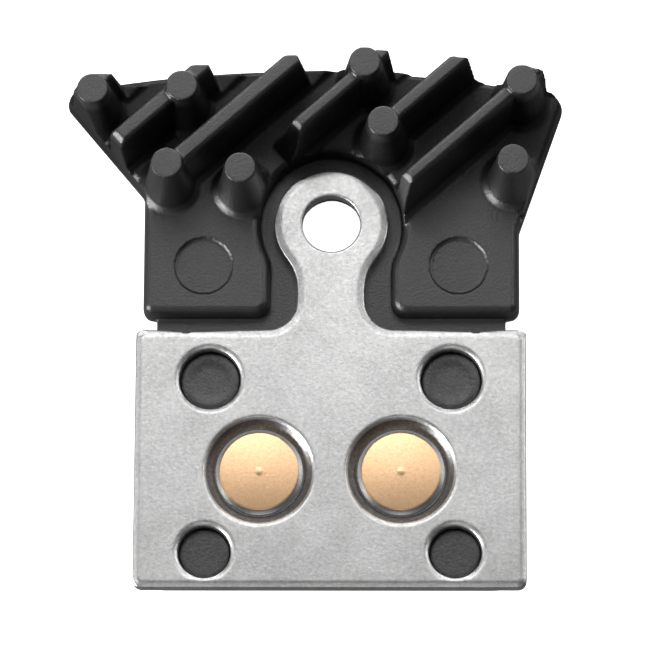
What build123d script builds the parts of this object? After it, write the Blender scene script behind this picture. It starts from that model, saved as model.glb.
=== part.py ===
"""Finned disc brake pad for a bicycle caliper.

Frame: millimetres. The origin is on the pad axle's axis, in the plane where the steel backing plate seats
on the cast fin plate. +Z points out of the back of the pad, towards the piston. +Y points out to the fins.
The friction face looks along -Z.
"""
import os
from math import cos, radians, sin, tan

from build123d import *

# Stack, from the friction face to the fin tips
STEEL_THICK = 1.1
FLANGE_THICK = 1.0
CARRIER_THICK = 0.5
FRICTION_THICK = 1.5
SLAB_HEIGHT = 1.4
RIB_TOP = 6.6
PIN_TOP = 7.0

# Pad axle and the eyelet tab that hangs on it
AXLE_HOLE = 4.0
AXLE_CLEARANCE = 0.15
EYELET_RADIUS = 3.68
CROWN_TRIM = 0.12
CROWN_FROM, CROWN_TO = 37, 123
NECK_HALF = 2.07
NECK_UPPER_BLEND = 3.6
NECK_LOWER_BLEND = 2.3

# Steel backing plate
PLATE_HALF = 13.2
PLATE_TOP = 7.72
PLATE_BOTTOM = 25.5
PLATE_CORNER = 0.45
DIE_ROLL = 0.28
DIE_ROLL_DEPTH = 0.14
NOTCH_X = 9.9
NOTCH_WIDTH = 0.9
NOTCH_DEPTH = 0.18
UPPER_HOLE = 4.2
UPPER_HOLE_IN, UPPER_HOLE_DOWN = 4.97, 3.25
LOWER_HOLE = 3.6
LOWER_HOLE_IN, LOWER_HOLE_UP = 4.71, 2.5

# Rivets and their countersunk seats in the steel plate
RIVET_X = 4.82
RIVET_UP = 8.1
RIVET_HEAD = 6.1
RIVET_FACE = 5.4
RIVET_SHANK = 4.6
RIVET_DROP = 0.12
RIVET_CHAMFER = 0.3
RIVET_CLEARANCE = 0.1
RIVET_SEAT = 0.4
SINK_WIDTH = 0.65
SINK_DEPTH = 0.6

# Outline of the cast fin plate
FLANGE_IN = 1.25
FLANGE_CORNER = 0.7
FRONT_EDGE = 0.2
SHOULDER_IN = 0.3
SHOULDER_GAP = 1.22
SHOULDER_ROUND = 0.7
LEFT_WAIST = 2.1
RIGHT_WAIST = -0.37
WAIST_ROUND = 1.0
LEFT_TIP = (-18.4, 8.7)
LEFT_TIP_ROUND = 0.6
TOP_ARC_LEFT = (-18.1, 9.58)
TOP_ARC_CROWN = (-1.15, 11.08)
TOP_ARC_RIGHT = (16.2, 9.12)
TOP_ARC_ROUND = 0.9

# Raised slab on the back of the fin plate, with the pocket for the eyelet tab
SLAB_DRAFT = 9
SLAB_EDGE = 0.25
POCKET_RADIUS = 4.9
POCKET_BLEND = 3.0
POCKET_DRAFT = 3
CHANNEL_HALF = 4.15
CHANNEL_ROUND = 0.9
WING_STEP_LOW = 2.1
WING_STEP_RISE = 1.95
WING_STEP_RUN = 1.75
CAST_MARK = 4.0
CAST_MARK_X, CAST_MARK_Y = 8.73, -3.08
CAST_MARK_DEPTH = 0.2

# Cooling ribs on the back: place across the rib direction, start along it, width of the crest and, where the
# outer end is set back from the edge of the fins, the end's place at the crest and its draft
RIB_ANGLE = 41.6
RIB_DRAFT = 4
RIB_EDGE = 0.18
RIB_NOSE = 0.35
RIB_START_DRAFT = 14
RIBS = [
    (-17.04, -7.81, 1.1, (9.09, 8)),
    (-13.03, -7.86, 1.1, (9.7, 9.5)),
    (-9.3, -6.52, 1.15, (10.4, 5)),
    (-5.58, 1.81, 0.9, None),
    (-1.8, 6.41, 1.0, None),
    (2.22, 4.95, 0.9, None),
]

# Cooling pins on the back: places across and along the rib direction
PIN_DIAMETER = 2.12
PIN_DRAFT = 7
PINS = [
    (-16.67, -6.84), (-12.8, -2.16), (-9.33, -6.52), (-5.77, -3.01),
    (-5.78, 8.27), (-1.78, 6.41), (2.29, 15.4), (6.1, 11.2),
]

# Edge and root of the ribs and pins
FIN_INSET = 0.12
ROOT_FLARE = 0.4
ROOT_SINK = 0.01

# Shallow ribs on the front of the fins, evenly spaced, and two square bosses
FRONT_ANGLE = 45
FRONT_FIRST = -18.65
FRONT_PITCH = 4.37
FRONT_WIDTH = 1.65
FRONT_HEIGHT = 0.8
FRONT_DRAFT = 12
FRONT_INSET = 0.4
FRONT_STARTS = [-7.5, -6.65, -7.2, -4.4, 5.1, 4.7, 8.6]
FRONT_AXLE_BITE = 5.3
SQUARE_IN, SQUARE_UP = 2.05, 1.0
SQUARE_SIZE = 1.5
SQUARE_HEIGHT = 0.45

# Cast bosses that fill the corner holes of the steel plate
BOSS_CLEARANCE = 0.12
BOSS_DROP = 0.85
STAKE_MARK = 2.7
STAKE_DEPTH = 0.1

# Friction block and the carrier plate behind it
FRICTION_IN = 0.55
FRICTION_DOWN = 3.0
FRICTION_TOP_SAG = 1.2
FRICTION_UP = 0.9
FRICTION_BOTTOM_SAG = 0.45
FRICTION_CORNER = 2.9
CHAMFER_RUN = 1.35
CHAMFER_DEPTH = 1.0
CARRIER_BORDER = 0.22

# Places that follow from the sizes
REACH = 60
NEAR = 0.05
FRONT_Z = -FLANGE_THICK
CARRIER_Z = FRONT_Z - CARRIER_THICK
REST_Z = CARRIER_Z - FRICTION_THICK
UPPER_HOLE_X, UPPER_HOLE_Y = PLATE_HALF - UPPER_HOLE_IN, -PLATE_TOP - UPPER_HOLE_DOWN
LOWER_HOLE_X, LOWER_HOLE_Y = PLATE_HALF - LOWER_HOLE_IN, LOWER_HOLE_UP - PLATE_BOTTOM
RIVET_Y = RIVET_UP - PLATE_BOTTOM
FLANGE_HALF = PLATE_HALF - FLANGE_IN
SHOULDER_HALF = PLATE_HALF - SHOULDER_IN
SHOULDER_BOTTOM = PLATE_TOP - SHOULDER_GAP
SQUARE_X, SQUARE_Y = SHOULDER_HALF - SQUARE_IN, SQUARE_UP - SHOULDER_BOTTOM
FRICTION_HALF = FLANGE_HALF - FRICTION_IN
FRICTION_TOP = -PLATE_TOP - FRICTION_DOWN
FRICTION_BOTTOM = FRICTION_UP - PLATE_BOTTOM
CHAMFER_START = FRICTION_BOTTOM + CHAMFER_RUN


def both_sides(x, y):
    """The point and its mirror image about the pad's centre line."""
    return [(-x, y), (x, y)]


def corners_at(outline, *points):
    """The outline's corners at the given points."""
    return outline.vertices().filter_by(
        lambda v: min((v.center() - Vector(*point)).length for point in points) < NEAR)


def backing_plate():
    """Stamped steel plate with the eyelet tab, rolled edges and punched holes."""
    neck_end = -PLATE_TOP - NECK_LOWER_BLEND
    plate = Pos(0, -(PLATE_TOP + PLATE_BOTTOM) / 2) * RectangleRounded(
        2 * PLATE_HALF, PLATE_BOTTOM - PLATE_TOP, PLATE_CORNER)
    neck = Pos(0, neck_end / 2) * Rectangle(2 * NECK_HALF, -neck_end)
    outline = plate + neck + Circle(EYELET_RADIUS)
    inner = outline.vertices().filter_by(lambda v: abs(abs(v.X) - NECK_HALF) < NEAR)
    inner = inner.sort_by(Axis.Y)
    outline = fillet(inner[:2], NECK_LOWER_BLEND)
    upper = outline.vertices().filter_by(lambda v: abs(abs(v.X) - NECK_HALF) < NEAR)
    upper = upper.sort_by(Axis.Y)
    outline = fillet(upper[-2:], NECK_UPPER_BLEND)
    solid = extrude(outline, STEEL_THICK)

    for x, y in both_sides(UPPER_HOLE_X, UPPER_HOLE_Y):
        solid -= Pos(x, y) * Cylinder(UPPER_HOLE / 2, REACH)
    for x, y in both_sides(LOWER_HOLE_X, LOWER_HOLE_Y):
        solid -= Pos(x, y) * Cylinder(LOWER_HOLE / 2, REACH)
    face = solid.faces().sort_by(Axis.Z)[-1]
    solid = chamfer(face.edges(), DIE_ROLL, DIE_ROLL_DEPTH, reference=face)
    solid -= Cylinder(AXLE_HOLE / 2, REACH)

    bore = RIVET_HEAD / 2 + RIVET_CLEARANCE
    from_top = (Align.CENTER, Align.CENTER, Align.MAX)
    for x, y in both_sides(RIVET_X, RIVET_Y):
        solid -= Pos(x, y) * Cylinder(RIVET_SHANK / 2 + RIVET_CLEARANCE, REACH)
        solid -= Pos(x, y, STEEL_THICK) * Cylinder(bore, STEEL_THICK - RIVET_SEAT, align=from_top)
        solid -= Pos(x, y, STEEL_THICK) * Cone(bore, bore + SINK_WIDTH, SINK_DEPTH, align=from_top)
    for x, y in both_sides(NOTCH_X, -PLATE_TOP):
        solid -= Pos(x, y) * Box(NOTCH_WIDTH, 2 * NOTCH_DEPTH, REACH)
    crown = Circle(2 * EYELET_RADIUS) - Circle(EYELET_RADIUS - CROWN_TRIM)
    crown &= make_face(Polyline(
        (0, 0),
        (3 * EYELET_RADIUS * cos(radians(CROWN_FROM)), 3 * EYELET_RADIUS * sin(radians(CROWN_FROM))),
        (3 * EYELET_RADIUS * cos(radians(CROWN_TO)), 3 * EYELET_RADIUS * sin(radians(CROWN_TO))),
        close=True))
    return solid - extrude(crown, STEEL_THICK)


def upper_outline():
    """Outline of the fins and shoulders, down to the shoulders' lower edge."""
    waist = [(-SHOULDER_HALF, LEFT_WAIST), (SHOULDER_HALF, RIGHT_WAIST)]
    shoulders = both_sides(SHOULDER_HALF, -SHOULDER_BOTTOM)
    sides = Polyline(TOP_ARC_LEFT, LEFT_TIP, waist[0], *shoulders, waist[1], TOP_ARC_RIGHT)
    outline = make_face(sides + ThreePointArc(TOP_ARC_RIGHT, TOP_ARC_CROWN, TOP_ARC_LEFT))
    outline = fillet(corners_at(outline, *shoulders), SHOULDER_ROUND)
    outline = fillet(corners_at(outline, *waist), WAIST_ROUND)
    outline = fillet(corners_at(outline, TOP_ARC_LEFT, TOP_ARC_RIGHT), TOP_ARC_ROUND)
    return fillet(corners_at(outline, LEFT_TIP), LEFT_TIP_ROUND)


def flange_outline():
    """Outline of the whole casting: fins, shoulders and the narrower flange under the steel plate."""
    flange = Pos(0, -PLATE_BOTTOM / 2) * Rectangle(2 * FLANGE_HALF, PLATE_BOTTOM)
    corners = flange.vertices().filter_by(lambda v: v.Y < -PLATE_TOP)
    return upper_outline() + fillet(corners, FLANGE_CORNER)


def pocket_outline():
    """Room round the eyelet tab: a circle about the axle and a channel for the neck."""
    channel = Pos(0, -PLATE_TOP / 2) * Rectangle(2 * CHANNEL_HALF, PLATE_TOP)
    outline = Circle(POCKET_RADIUS) + channel
    throat = outline.vertices().filter_by(lambda v: v.Y > NEAR - PLATE_TOP)
    return fillet(throat.sort_by(Axis.Y)[-2:], POCKET_BLEND)


def wing_step():
    """Corner of the right wing where the casting is only as thick as the flange."""
    high = WING_STEP_LOW + WING_STEP_RISE
    corner = make_face(Polyline(
        (SHOULDER_HALF, -REACH), (SHOULDER_HALF, WING_STEP_LOW), (SHOULDER_HALF + WING_STEP_RUN, high),
        (REACH, high), (REACH, -REACH), close=True))
    return extrude(corner, REACH)


def slab():
    """Raised slab on the back of the fins, with drafted walls and the tab's pocket cut out."""
    solid = extrude(upper_outline(), SLAB_HEIGHT, taper=SLAB_DRAFT)
    solid -= extrude(pocket_outline(), 2 * SLAB_HEIGHT, taper=-SLAB_DRAFT)
    mouth = solid.edges().filter_by(
        lambda e: e.center().Y < SLAB_HEIGHT / 2 - SHOULDER_BOTTOM
        and abs(e.center().X) < CHANNEL_HALF + SLAB_HEIGHT
        and 0 < e.center().Z < SLAB_HEIGHT)
    solid = fillet(mouth, CHANNEL_ROUND)
    solid = chamfer(solid.edges().group_by(Axis.Z)[-1], SLAB_EDGE)
    for x, y in both_sides(CAST_MARK_X, CAST_MARK_Y):
        solid -= Pos(x, y, SLAB_HEIGHT) * Cylinder(CAST_MARK / 2, 2 * CAST_MARK_DEPTH)
    return solid - wing_step()


def rooted(crest, half_top, top, draft):
    """Half section of a rib or pin: its crest, its drafted wall and its flared root, down to the seat plane."""
    spread = tan(radians(draft))
    flare_top = SLAB_HEIGHT + ROOT_FLARE
    flare_from = half_top + (top - flare_top) * spread
    flare_to = half_top + (top - SLAB_HEIGHT) * spread + ROOT_FLARE
    return make_face(Polyline(
        (0, top), *crest, (flare_from, flare_top), (flare_to, SLAB_HEIGHT - ROOT_SINK),
        (flare_to, 0), (0, 0), close=True))


def on_diagonal(angle, across, along):
    """Point given by its places across and along a diagonal direction."""
    turn = radians(angle)
    return (along * cos(turn) + across * sin(turn), along * sin(turn) - across * cos(turn))


def pin(across, along):
    """Round drafted cooling pin."""
    radius = PIN_DIAMETER / 2
    section = Plane.XZ * rooted([(radius, PIN_TOP)], radius, PIN_TOP, PIN_DRAFT)
    return Pos(*on_diagonal(RIB_ANGLE, across, along)) * revolve(section, Axis.Z)


def rib(across, start, width):
    """Drafted cooling rib that runs from its bevelled start out past the edge of the fins."""
    side_drop = RIB_EDGE * tan(radians(RIB_DRAFT))
    crest = [(width / 2 - RIB_EDGE, RIB_TOP), (width / 2 + side_drop, RIB_TOP - RIB_EDGE)]
    half = rooted(crest, width / 2, RIB_TOP, RIB_DRAFT)
    section = half + mirror(half, Plane.YZ)
    bar = extrude(Plane.YZ * section, REACH, both=True)
    nose_z = RIB_TOP - RIB_NOSE
    foot = -nose_z * tan(radians(RIB_START_DRAFT))
    side = make_face(Polyline(
        (RIB_NOSE, RIB_TOP), (REACH, RIB_TOP), (REACH, 0), (foot, 0), (0, nose_z), close=True))
    bar &= extrude(Plane.XZ * side, REACH, both=True)
    return Pos(*on_diagonal(RIB_ANGLE, across, start)) * Rot(Z=RIB_ANGLE) * bar


def beyond_end(crest_y, draft):
    """All that lies beyond a rib's set-back outer end."""
    foot = crest_y + RIB_TOP * tan(radians(draft))
    side = make_face(Polyline((crest_y, RIB_TOP), (REACH, RIB_TOP), (REACH, 0), (foot, 0), close=True))
    return extrude(Plane.YZ * side, REACH, both=True)


def cooling_fins():
    """All back ribs and pins, kept inside the fins' outline and clear of the eyelet tab."""
    fins = [pin(across, along) for across, along in PINS]
    for across, start, width, end in RIBS:
        bar = rib(across, start, width)
        fins.append(bar if end is None else bar - beyond_end(*end))
    room = extrude(offset(upper_outline(), -FIN_INSET), PIN_TOP)
    room -= extrude(pocket_outline(), PIN_TOP, taper=-POCKET_DRAFT)
    return [fin & room for fin in fins]


def front_ribs():
    """Shallow diagonal ribs on the front of the fins, stopped short of the edge and of the axle."""
    field = offset(upper_outline(), -FRONT_INSET)
    field -= Circle(FRONT_AXLE_BITE)
    shapes = []
    for number, start in enumerate(FRONT_STARTS):
        origin = on_diagonal(FRONT_ANGLE, FRONT_FIRST + number * FRONT_PITCH, start)
        strip = Rectangle(REACH, FRONT_WIDTH, align=(Align.MIN, Align.CENTER))
        strip = Pos(*origin) * Rot(Z=FRONT_ANGLE) * strip
        shapes += [Pos(0, 0, FRONT_Z) * Sketch([face]) for face in (strip & field).faces()]
    return [extrude(shape, FRONT_HEIGHT, dir=(0, 0, -1), taper=FRONT_DRAFT) for shape in shapes]


def fin_plate():
    """Cast aluminium plate: flange, slab, back ribs and pins, front ribs and bosses."""
    solid = extrude(flange_outline(), -FLANGE_THICK)
    solid = chamfer(solid.edges().group_by(Axis.Z)[0], FRONT_EDGE)
    solid += slab()
    for fin in cooling_fins():
        solid += fin
    for bar in front_ribs():
        solid += bar
    for x, y in both_sides(SQUARE_X, SQUARE_Y):
        square = Pos(x, y, FRONT_Z) * Rectangle(SQUARE_SIZE, SQUARE_SIZE)
        solid += extrude(square, SQUARE_HEIGHT, dir=(0, 0, -1), taper=FRONT_DRAFT)
    boss_height = STEEL_THICK - BOSS_DROP
    from_seat = (Align.CENTER, Align.CENTER, Align.MIN)
    for x, y in both_sides(UPPER_HOLE_X, UPPER_HOLE_Y):
        solid += Pos(x, y) * Cylinder(UPPER_HOLE / 2 - BOSS_CLEARANCE, boss_height, align=from_seat)
        solid -= Pos(x, y, boss_height) * Cylinder(STAKE_MARK / 2, 2 * STAKE_DEPTH)
    for x, y in both_sides(LOWER_HOLE_X, LOWER_HOLE_Y):
        solid += Pos(x, y) * Cylinder(LOWER_HOLE / 2 - BOSS_CLEARANCE, boss_height, align=from_seat)
    for x, y in both_sides(RIVET_X, RIVET_Y):
        solid -= Pos(x, y) * Cylinder(RIVET_SHANK / 2 + RIVET_CLEARANCE, REACH)
    return solid - Cylinder(AXLE_HOLE / 2 + AXLE_CLEARANCE, REACH)


def friction_outline():
    """Friction block seen along Z: arched top and bottom edges, straight sides, round corners."""
    top_y = FRICTION_TOP - FRICTION_TOP_SAG
    low_y = FRICTION_BOTTOM - FRICTION_BOTTOM_SAG
    half = FRICTION_HALF
    top = ThreePointArc((-half, top_y), (0, FRICTION_TOP), (half, top_y))
    low = ThreePointArc((half, low_y), (0, FRICTION_BOTTOM), (-half, low_y))
    right = Line((half, top_y), (half, low_y))
    left = Line((-half, low_y), (-half, top_y))
    outline = make_face(top + right + low + left)
    return fillet(outline.vertices(), FRICTION_CORNER)


def carrier_plate():
    """Thin steel plate that carries the friction compound and the rivets."""
    plate = offset(friction_outline(), CARRIER_BORDER)
    solid = extrude(Pos(0, 0, CARRIER_Z) * plate, CARRIER_THICK)
    for x, y in both_sides(RIVET_X, RIVET_Y):
        solid -= Pos(x, y) * Cylinder(RIVET_SHANK / 2, REACH)
    return solid


def friction_block():
    """Sintered friction compound, chamfered along its inner edge."""
    solid = extrude(Pos(0, 0, REST_Z) * friction_outline(), FRICTION_THICK)
    slope = CHAMFER_DEPTH / (CHAMFER_START - FRICTION_BOTTOM)
    far = CHAMFER_START - REACH
    wedge = make_face(Polyline(
        (CHAMFER_START, REST_Z), (far, REST_Z + REACH * slope), (far, REST_Z), close=True))
    return solid - extrude(Plane.YZ * wedge, REACH, both=True)


def rivets():
    """Two studs: shank through carrier and flange, chamfered head in the countersunk seat."""
    face = STEEL_THICK - RIVET_DROP
    section = make_face(Polyline(
        (0, CARRIER_Z), (RIVET_SHANK / 2, CARRIER_Z), (RIVET_SHANK / 2, RIVET_SEAT),
        (RIVET_HEAD / 2, RIVET_SEAT), (RIVET_HEAD / 2, face - RIVET_CHAMFER), (RIVET_FACE / 2, face),
        (0, face), close=True))
    stud = revolve(Plane.XZ * section, Axis.Z)
    return Compound(children=[Pos(x, y) * stud for x, y in both_sides(RIVET_X, RIVET_Y)])


os.makedirs("parts", exist_ok=True)
export_step(backing_plate(), "parts/backing_plate.step")
export_step(fin_plate(), "parts/fin_plate.step")
export_step(carrier_plate(), "parts/carrier_plate.step")
export_step(friction_block(), "parts/friction_block.step")
export_step(rivets(), "parts/rivets.step")
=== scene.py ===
import math

import bpy
from mathutils import Matrix, Vector


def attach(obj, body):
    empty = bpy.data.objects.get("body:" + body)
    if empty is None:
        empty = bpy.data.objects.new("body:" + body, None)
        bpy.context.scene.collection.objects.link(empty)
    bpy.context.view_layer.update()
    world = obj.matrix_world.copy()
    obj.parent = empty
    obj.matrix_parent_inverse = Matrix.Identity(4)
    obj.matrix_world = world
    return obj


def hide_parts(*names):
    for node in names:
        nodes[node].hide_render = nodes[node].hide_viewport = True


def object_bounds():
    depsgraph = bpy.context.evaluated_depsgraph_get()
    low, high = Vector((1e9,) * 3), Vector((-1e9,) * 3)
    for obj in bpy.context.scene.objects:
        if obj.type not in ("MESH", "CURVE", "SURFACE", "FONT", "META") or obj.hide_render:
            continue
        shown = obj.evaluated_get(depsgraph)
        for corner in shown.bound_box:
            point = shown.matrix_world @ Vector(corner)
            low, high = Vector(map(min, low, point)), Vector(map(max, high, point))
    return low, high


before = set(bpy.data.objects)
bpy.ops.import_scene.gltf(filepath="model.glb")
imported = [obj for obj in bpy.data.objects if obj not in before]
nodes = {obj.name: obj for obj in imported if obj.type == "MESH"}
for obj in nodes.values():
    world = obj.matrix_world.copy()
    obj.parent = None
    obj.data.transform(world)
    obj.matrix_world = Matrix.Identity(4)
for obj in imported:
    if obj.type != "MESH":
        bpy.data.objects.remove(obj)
cad_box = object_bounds()


# Friction block: a pressed mix of metal grains, fibres and binder, sintered on to its carrier.
# The face is ground flat and stays open-pored, and the inner edge is ground to a coarse slope.
def merged_copy(node, name):
    """A welded copy of a CAD node's mesh, as an object of its own."""
    bpy.ops.object.select_all(action="DESELECT")
    piece = bpy.data.objects.new(name, nodes[node].data.copy())
    bpy.context.scene.collection.objects.link(piece)
    piece.data.materials.clear()
    bpy.context.view_layer.objects.active = piece
    piece.select_set(True)
    bpy.ops.object.mode_set(mode="EDIT")
    bpy.ops.mesh.select_all(action="SELECT")
    bpy.ops.mesh.remove_doubles(threshold=2e-6)
    bpy.ops.object.mode_set(mode="OBJECT")
    return piece


def fine_skin(piece, cell_mm, smoothing):
    """Rebuilds a piece as one fine closed skin, which gives every edge the small radius of a made part."""
    piece.data.transform(Matrix.Scale(1000, 4))
    skin = piece.modifiers.new("fine skin", "REMESH")
    skin.mode = "VOXEL"
    skin.voxel_size = cell_mm
    skin.use_smooth_shade = True
    bpy.ops.object.modifier_apply(modifier=skin.name)
    soft = piece.modifiers.new("softened edges", "SMOOTH")
    soft.factor = 0.5
    soft.iterations = smoothing
    bpy.ops.object.modifier_apply(modifier=soft.name)
    piece.data.transform(Matrix.Scale(0.001, 4))


def thin_out(piece, triangles):
    """Thins the skin where it is flat, and keeps the flats' shading even."""
    thin = piece.modifiers.new("thinned flats", "DECIMATE")
    thin.ratio = triangles / (2 * len(piece.data.polygons))
    bpy.ops.object.modifier_apply(modifier=thin.name)
    even = piece.modifiers.new("even flats", "WEIGHTED_NORMAL")
    even.weight = 70
    bpy.ops.object.modifier_apply(modifier=even.name)


def new_material(name):
    """A material with its tree, its shader and its object coordinates."""
    material = bpy.data.materials.new(name)
    material.use_nodes = True
    tree = material.node_tree
    place = tree.nodes.new("ShaderNodeTexCoord")
    return material, tree, tree.nodes["Principled BSDF"], place.outputs["Object"]


def grain_group():
    """Fine grain of a ground, tumbled or cast face, as a mask."""
    group = bpy.data.node_groups.new("fine grain", "ShaderNodeTree")
    group.interface.new_socket("Vector", in_out="INPUT", socket_type="NodeSocketVector")
    group.interface.new_socket("Cells per metre", in_out="INPUT", socket_type="NodeSocketFloat")
    group.interface.new_socket("Roughness", in_out="INPUT", socket_type="NodeSocketFloat")
    group.interface.new_socket("Mask", in_out="OUTPUT", socket_type="NodeSocketFloat")
    inside = group.nodes.new("NodeGroupInput")
    outside = group.nodes.new("NodeGroupOutput")
    noise = group.nodes.new("ShaderNodeTexNoise")
    noise.inputs["Detail"].default_value = 3
    group.links.new(inside.outputs["Vector"], noise.inputs["Vector"])
    group.links.new(inside.outputs["Cells per metre"], noise.inputs["Scale"])
    group.links.new(inside.outputs["Roughness"], noise.inputs["Roughness"])
    group.links.new(noise.outputs["Fac"], outside.inputs["Mask"])
    return group


fine_grain = grain_group()


def add_grain(tree, place, cells, roughness):
    """Places the fine grain group in a material and returns its mask."""
    node = tree.nodes.new("ShaderNodeGroup")
    node.node_tree = fine_grain
    node.inputs["Cells per metre"].default_value = cells
    node.inputs["Roughness"].default_value = roughness
    tree.links.new(place, node.inputs["Vector"])
    return node.outputs["Mask"]


def add_ramp(tree, mask, stops):
    """A colour ramp on a mask: each stop is a place and a grey or a colour."""
    ramp = tree.nodes.new("ShaderNodeValToRGB")
    elements = ramp.color_ramp.elements
    while len(elements) < len(stops):
        elements.new(0.5)
    for element, (spot, colour) in zip(elements, stops):
        element.position = spot
        shade = colour if isinstance(colour, tuple) else (colour, colour, colour)
        element.color = (*shade, 1)
    tree.links.new(mask, ramp.inputs["Fac"])
    return ramp.outputs["Color"]


def add_mix(tree, mask, first, second):
    """Goes from the first colour to the second as the mask goes from 0 to 1."""
    mix = tree.nodes.new("ShaderNodeMix")
    mix.data_type = "RGBA"
    tree.links.new(mask, mix.inputs["Factor"])
    tree.links.new(first, mix.inputs["A"])
    tree.links.new(second, mix.inputs["B"])
    return mix.outputs["Result"]


def add_band(tree, value, low, high):
    """A mask that rises from 0 to 1 as the value goes from low to high."""
    band = tree.nodes.new("ShaderNodeMapRange")
    band.inputs["From Min"].default_value = low
    band.inputs["From Max"].default_value = high
    tree.links.new(value, band.inputs["Value"])
    return band.outputs["Result"]


def add_axes(tree, place):
    """The separate x, y and z of a place."""
    axes = tree.nodes.new("ShaderNodeSeparateXYZ")
    tree.links.new(place, axes.inputs["Vector"])
    return axes.outputs


def add_bump(tree, shader, height, strength, distance):
    """A bump on the shader's normal, which it returns."""
    bump = tree.nodes.new("ShaderNodeBump")
    bump.inputs["Strength"].default_value = strength
    bump.inputs["Distance"].default_value = distance
    tree.links.new(height, bump.inputs["Height"])
    tree.links.new(bump.outputs["Normal"], shader.inputs["Normal"])
    return bump.outputs["Normal"]


block = merged_copy("friction_block", "friction_pad")
fine_skin(block, 0.1, 1)
pores = bpy.data.textures.new("open pores", "CLOUDS")
pores.noise_scale = 0.00028
pores.noise_depth = 2
pitted = block.modifiers.new("pitted face", "DISPLACE")
pitted.texture = pores
pitted.texture_coords = "LOCAL"
pitted.mid_level = 1
pitted.strength = 0.00007
bpy.ops.object.modifier_apply(modifier=pitted.name)
compound, tree, shader, place = new_material("friction compound")
ground_face = add_ramp(tree, add_grain(tree, place, 3200, 0.7), [
    (0.28, (0.06, 0.044, 0.033)), (0.40, (0.30, 0.215, 0.16)), (0.58, (0.44, 0.33, 0.255)),
    (0.74, (0.66, 0.55, 0.46))])
# The slope along the inner edge has a coarser grain. Its colour is a much darker copy of the face's, painted shade
# on the chamfer.
coarse_shaded_slope = add_ramp(tree, add_grain(tree, place, 2200, 0.8), [
    (0.36, (0.012, 0.009, 0.007)), (0.50, (0.09, 0.062, 0.045)), (0.66, (0.20, 0.145, 0.11))])
on_face = add_band(tree, add_axes(tree, place)["Y"], -0.02335, -0.02320)
tree.links.new(add_mix(tree, on_face, coarse_shaded_slope, ground_face), shader.inputs["Base Color"])
shader.inputs["Roughness"].default_value = 0.75
add_bump(tree, shader, add_grain(tree, place, 5200, 0.65), 0.5, 0.00006)
block.data.materials.append(compound)
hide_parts("friction_block")
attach(block, "root")

# Carrier plate: thin plated sheet steel under the compound, blanked to the block's outline.
# Only its bright cut edge shows, all round the block.
sheet, tree, shader, place = new_material("plated sheet")
shader.inputs["Metallic"].default_value = 1
tree.links.new(
    add_ramp(tree, add_grain(tree, place, 5000, 0.6), [(0.3, (0.62, 0.61, 0.59)), (0.7, (0.80, 0.79, 0.77))]),
    shader.inputs["Base Color"])
shader.inputs["Roughness"].default_value = 0.35
nodes["carrier_plate"].data.materials.clear()
nodes["carrier_plate"].data.materials.append(sheet)

# Fin plate: one aluminium casting, its ribs and pins drawn from a two-part die. Its satin black coat is left off
# in the slots, so that they stay black. The outer ends of four ribs are drawn in at their right corners.
# The bosses on its flange sit in the steel plate's corner holes, and their faces are scuffed.
def pick(piece, kind, wanted):
    """Opens a piece for editing, with only the wanted corners or faces selected."""
    bpy.ops.object.mode_set(mode="EDIT")
    bpy.ops.mesh.select_mode(type=kind)
    bpy.ops.mesh.select_all(action="DESELECT")
    bpy.ops.object.mode_set(mode="OBJECT")
    for element in piece.data.vertices if kind == "VERT" else piece.data.polygons:
        element.select = wanted(element)
    bpy.ops.object.mode_set(mode="EDIT")


def add_math(tree, operation, first, second):
    """Two masks put together, such as their product or the greater of them."""
    joined = tree.nodes.new("ShaderNodeMath")
    joined.operation = operation
    tree.links.new(first, joined.inputs[0])
    tree.links.new(second, joined.inputs[1])
    return joined.outputs["Value"]


def on_upper_boss(corner):
    """Whether a corner of the casting lies on the face of an upper boss."""
    boss_x, boss_y, boss_radius = 0.00825, -0.0111, 0.00185
    from_middle = math.hypot(abs(corner.co.x) - boss_x, corner.co.y - boss_y)
    return 0.00005 < corner.co.z < 0.0009 and from_middle < boss_radius


fins = merged_copy("fin_plate", "fin_casting")
crest_z, foot_z = 6.6, 1.6
cut_wide, cut_long, cut_tall = 1.6, 3, 7
rib_ends = [
    (-14.89, 9.07, -14.34, 9.26), (-8.24, 9.60, -8.11, 10.43), (-2.20, 10.27, -1.81, 10.75),
    (3.99, 10.54, 4.27, 10.63)]
along = Vector((-0.355, 0.935, 0))
for crest_x, crest_y, foot_x, foot_y in rib_ends:
    foot = Vector((foot_x, foot_y, foot_z))
    outward = along.cross(Vector((crest_x, crest_y, crest_z)) - foot).normalized()
    climb = outward.cross(along)
    bpy.ops.object.select_all(action="DESELECT")
    bpy.ops.mesh.primitive_cube_add(size=1)
    cutter = bpy.context.object
    turn = Matrix((outward, along, climb)).transposed().to_4x4()
    middle = Matrix.Translation(foot + outward * cut_wide / 2 + climb * cut_tall / 2)
    size = Matrix.Diagonal((cut_wide, cut_long, cut_tall, 1))
    cutter.data.transform(Matrix.Scale(0.001, 4) @ middle @ turn @ size)
    bpy.ops.object.select_all(action="DESELECT")
    bpy.context.view_layer.objects.active = fins
    fins.select_set(True)
    trim = fins.modifiers.new("trimmed end", "BOOLEAN")
    trim.operation = "DIFFERENCE"
    trim.object = cutter
    bpy.ops.object.modifier_apply(modifier=trim.name)
    bpy.data.objects.remove(cutter)
lower_edge_y = -0.0249
pick(fins, "VERT", lambda corner: corner.co.y < lower_edge_y)
bpy.ops.transform.translate(value=(0, 0.00015, 0))
bpy.ops.object.mode_set(mode="OBJECT")
fine_skin(fins, 0.1, 3)
pick(fins, "VERT", on_upper_boss)
bpy.ops.mesh.vertices_smooth(factor=0.5, repeat=14)
bpy.ops.object.mode_set(mode="OBJECT")
thin_out(fins, 170000)
black_coat, tree, shader, place = new_material("black coat")
shader.inputs["Specular IOR Level"].default_value = 0.25
shader.inputs["Coat IOR"].default_value = 1.6
shader.inputs["Coat Roughness"].default_value = 0.42
axes = add_axes(tree, place)
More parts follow.
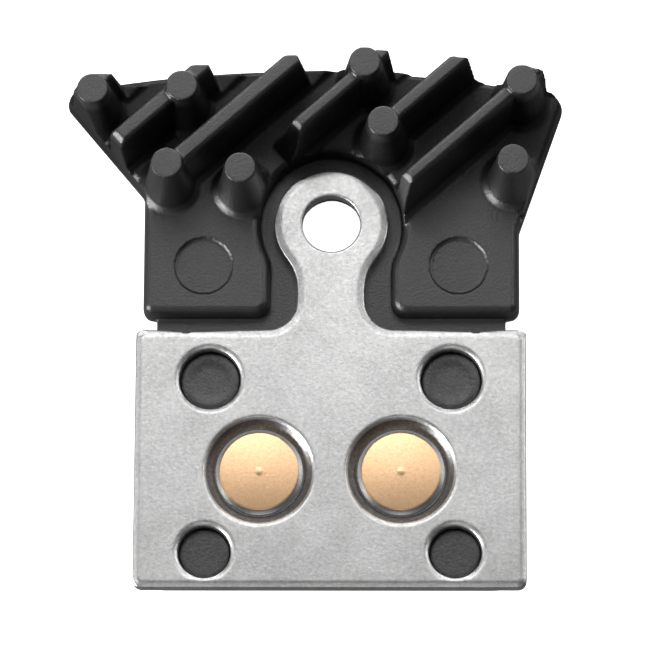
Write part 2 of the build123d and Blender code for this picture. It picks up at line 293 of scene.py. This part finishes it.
on_boss = add_math(
    tree, "MULTIPLY", add_band(tree, axes["Y"], -0.0080, -0.0083), add_band(tree, axes["Z"], 0.00005, 0.00015))
out_of_slot = add_math(
    tree, "MAXIMUM", add_band(tree, axes["Y"], 0.0050, 0.0015), add_band(tree, axes["Z"], 0.0054, 0.0062))
tree.links.new(out_of_slot, shader.inputs["Coat Weight"])
tree.links.new(
    add_mix(
        tree, on_boss,
        add_ramp(tree, add_grain(tree, place, 7000, 0.7), [(0.3, 0.003), (0.7, 0.012)]),
        add_ramp(tree, add_grain(tree, place, 3600, 0.8), [(0.35, 0.008), (0.65, 0.05)])),
    shader.inputs["Base Color"])
tree.links.new(
    add_ramp(tree, add_grain(tree, place, 4200, 0.6), [(0.3, 0.34), (0.7, 0.48)]),
    shader.inputs["Roughness"])
cast_skin = add_bump(tree, shader, add_grain(tree, place, 5200, 0.75), 0.6, 0.00006)
tree.links.new(cast_skin, shader.inputs["Coat Normal"])
fins.data.materials.append(black_coat)
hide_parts("fin_plate")
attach(fins, "root")

# Backing plate: stainless sheet, stamped with the eyelet tab and tumbled to a satin grain.
# Its edges are rolled by the die, and its corner holes seat on the casting's bosses.
stud_x, stud_y = 0.00482, -0.0174


def add_reach(tree, place):
    """How far a place is from the middle of the nearer rivet."""
    axes = add_axes(tree, place)
    folded = tree.nodes.new("ShaderNodeMath")
    folded.operation = "ABSOLUTE"
    tree.links.new(axes["X"], folded.inputs[0])
    spot = tree.nodes.new("ShaderNodeCombineXYZ")
    tree.links.new(folded.outputs["Value"], spot.inputs["X"])
    tree.links.new(axes["Y"], spot.inputs["Y"])
    reach = tree.nodes.new("ShaderNodeVectorMath")
    reach.operation = "DISTANCE"
    reach.inputs[1].default_value = (stud_x, stud_y, 0)
    tree.links.new(spot.outputs["Vector"], reach.inputs[0])
    return reach.outputs["Value"]


def on_outline(lowest_y):
    """A test for the faces of the plate's outer wall that lie above a given y, in mm."""
    holes = [
        (0, 0, 2.6), (8.25, -11.1, 2.6), (-8.25, -11.1, 2.6), (8.5, -22.9, 2.4), (-8.5, -22.9, 2.4),
        (4.82, -17.4, 4.2), (-4.82, -17.4, 4.2)]

    def wanted(face):
        spot = face.center * 1000
        clear = all(math.hypot(spot.x - x, spot.y - y) > reach for x, y, reach in holes)
        return clear and abs(face.normal.z) < 0.3 and spot.y > lowest_y

    return wanted


plate = merged_copy("backing_plate", "steel_plate")
outline_growth = 0.00012
whole_plate, top_edge = -26, -7.9
for lowest_y in (whole_plate, top_edge):
    pick(plate, "FACE", on_outline(lowest_y))
    bpy.ops.transform.shrink_fatten(value=outline_growth)
pick(plate, "VERT", lambda corner: corner.co.y < lower_edge_y)
bpy.ops.transform.translate(value=(0, 0.00013, 0))
bpy.ops.object.mode_set(mode="OBJECT")
fine_skin(plate, 0.07, 7)
thin_out(plate, 150000)
satin_steel, tree, shader, place = new_material("satin steel")
shader.inputs["Metallic"].default_value = 1
# The countersunk seats round the rivets get a much darker copy of the steel's colour: painted shade in the recess.
in_shaded_seat = add_band(tree, add_reach(tree, place), 0.00364, 0.00358)
tumbled = add_grain(tree, place, 3800, 0.7)
dull = add_ramp(tree, tumbled, [(0.3, (0.44, 0.44, 0.438)), (0.7, (0.62, 0.62, 0.616))])
bright = add_ramp(tree, tumbled, [(0.3, (0.53, 0.53, 0.527)), (0.7, (0.71, 0.71, 0.705))])
in_patch = add_band(tree, add_grain(tree, place, 320, 0.6), 0.35, 0.65)
painted_seat_shade = add_ramp(tree, add_grain(tree, place, 5200, 0.65), [(0.3, 0.14), (0.7, 0.24)])
tree.links.new(
    add_mix(tree, in_shaded_seat, add_mix(tree, in_patch, dull, bright), painted_seat_shade),
    shader.inputs["Base Color"])
tree.links.new(
    add_ramp(tree, add_grain(tree, place, 3000, 0.6), [(0.3, 0.34), (0.7, 0.46)]),
    shader.inputs["Roughness"])
add_bump(tree, shader, add_grain(tree, place, 6000, 0.7), 0.25, 0.00005)
plate.data.materials.append(satin_steel)
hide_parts("backing_plate")
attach(plate, "root")

# Rivets: two turned studs, upset in the plate's countersunk seats, each with a copper-toned end in a bare ring.
# The lathe leaves the end as a very shallow cone with a small nib in its middle.
stud_profile = [
    (2.30, 0.40), (2.98, 0.40), (2.96, 0.50), (2.72, 0.63), (2.70, 0.65), (2.70, 0.77), (2.68, 0.80), (2.64, 0.82),
    (2.58, 0.83), (0.34, 0.84), (0.28, 0.842), (0.12, 0.872), (0.04, 0.876)]
bpy.ops.object.select_all(action="DESELECT")
bpy.ops.mesh.primitive_circle_add(vertices=128, radius=0.0023, fill_type="NGON", location=(stud_x, stud_y, -0.0015))
studs = bpy.context.object
studs.name = "rivet_studs"
bpy.ops.object.transform_apply(location=True, rotation=True, scale=True)
bpy.ops.object.mode_set(mode="EDIT")
bpy.ops.mesh.select_all(action="SELECT")
radius, height = 2.30, -1.50
for ring_radius, ring_height in stud_profile:
    bpy.ops.mesh.extrude_region_move(TRANSFORM_OT_translate={"value": (0, 0, (ring_height - height) / 1000)})
    grow = ring_radius / radius
    bpy.ops.transform.resize(value=(grow, grow, 1), center_override=(stud_x, stud_y, 0))
    radius, height = ring_radius, ring_height
bpy.ops.mesh.select_all(action="SELECT")
bpy.ops.mesh.normals_make_consistent(inside=False)
bpy.ops.mesh.duplicate_move(TRANSFORM_OT_translate={"value": (-2 * stud_x, 0, 0)})
bpy.ops.object.mode_set(mode="OBJECT")
bpy.ops.object.shade_smooth_by_angle(angle=math.radians(25))
turned_stud, tree, shader, place = new_material("turned stud")
shader.inputs["Metallic"].default_value = 1
outside_end = add_band(tree, add_reach(tree, place), 0.00271, 0.00273)
copper = add_ramp(tree, add_grain(tree, place, 4600, 0.65), [(0.3, (0.94, 0.56, 0.305)), (0.7, (0.99, 0.69, 0.42))])
bare = add_ramp(tree, add_grain(tree, place, 5200, 0.65), [(0.3, 0.50), (0.7, 0.64)])
tree.links.new(add_mix(tree, outside_end, copper, bare), shader.inputs["Base Color"])
shader.inputs["Roughness"].default_value = 0.36
add_bump(tree, shader, add_grain(tree, place, 6000, 0.7), 0.2, 0.00005)
studs.data.materials.append(turned_stud)
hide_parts("rivets")
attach(studs, "root")

# Table: a plain sheet under the pad's friction face. It is white to the camera alone, where it glows and shows no
# shadow. In reflections and bounced light it is nearly black, so it doesn't light the pad's walls.
bpy.ops.object.select_all(action="DESELECT")
bpy.ops.mesh.primitive_plane_add(size=1.6, location=(0, 0, cad_box[0].z))
table = bpy.context.object
table.name = "table"
white_sheet, tree, shader, place = new_material("white sheet")
shader.inputs["Roughness"].default_value = 0.9
shader.inputs["Emission Strength"].default_value = 1
ray = tree.nodes.new("ShaderNodeLightPath")
seen = ray.outputs["Is Camera Ray"]
tree.links.new(add_ramp(tree, seen, [(0.0, 0.06), (1.0, 0.9)]), shader.inputs["Base Color"])
tree.links.new(add_ramp(tree, seen, [(0.0, 0.07), (1.0, 1.0)]), shader.inputs["Emission Color"])
table.data.materials.append(white_sheet)

# Studio light: soft panels over and behind the fins and at both sides behind them, two lights at the left and
# a weak panel in front for the plate's lower edge. The room is dim, so the ribs' near walls stay black.
centre = Vector((-0.0005, -0.0073, 0.001))


def soft_box(name, bearing, elevation, distance, wide, tall, radiance):
    """A rectangular area light that faces the pad, with a given brightness of its face.

    The bearing is in degrees clockwise from +Y, seen from above.
    """
    turn, rise = math.radians(bearing), math.radians(elevation)
    toward = Vector((math.sin(turn) * math.cos(rise), math.cos(turn) * math.cos(rise), math.sin(rise)))
    bpy.ops.object.light_add(type="AREA", location=centre + toward * distance)
    lamp = bpy.context.object
    lamp.name = name
    lamp.data.shape = "RECTANGLE"
    lamp.data.size = wide
    lamp.data.size_y = tall
    lamp.data.energy = radiance * math.pi * wide * tall
    lamp.rotation_euler = (-toward).to_track_quat("-Z", "Y").to_euler()


soft_box("sky panel", 0, 69, 0.15, 0.12, 0.063, 1.7)
soft_box("upper back panel", 345, 53, 0.35, 0.25, 0.122, 2.9)
soft_box("low back panel", 0, 13, 0.35, 0.40, 0.122, 7.0)
soft_box("right back panel", 64, 33, 0.35, 0.25, 0.122, 3.5)
soft_box("left back panel", 288, 36, 0.35, 0.14, 0.122, 1.8)
soft_box("left strip", 255, 24, 0.35, 0.122, 0.24, 3.6)
soft_box("left glint", 241, 9, 0.30, 0.08, 0.07, 55.0)
soft_box("front panel", 180, 50, 0.35, 0.122, 0.122, 1.9)
room = bpy.data.worlds.new("dim room")
bpy.context.scene.world = room
room.use_nodes = True
room.node_tree.nodes["Background"].inputs["Color"].default_value = (1, 1, 1, 1)
room.node_tree.nodes["Background"].inputs["Strength"].default_value = 0.06
bpy.context.scene.view_settings.view_transform = "Standard"

# Camera: a long lens 350 mm from the pad, leaning to its lower edge as the photograph does.
# It is rolled a little, until the plate's top edge lies level.
back = Vector((0.02376, -0.26, 1.0)).normalized()
right = Vector((0, 1, 0)).cross(back).normalized()
up = back.cross(right)
roll = math.radians(-0.3346)
side = right * math.cos(roll) - up * math.sin(roll)
head = up * math.cos(roll) + right * math.sin(roll)
aim = centre + side * 0.000106 + head * 0.0001176
bpy.ops.object.camera_add(location=aim + back * 0.35074)
camera = bpy.context.object
camera.name = "camera"
camera.rotation_euler = Matrix((side, head, back)).transposed().to_euler()
camera.data.sensor_width = 36
camera.data.lens = 284.23
camera.data.clip_start = 0.01
bpy.context.scene.camera = camera
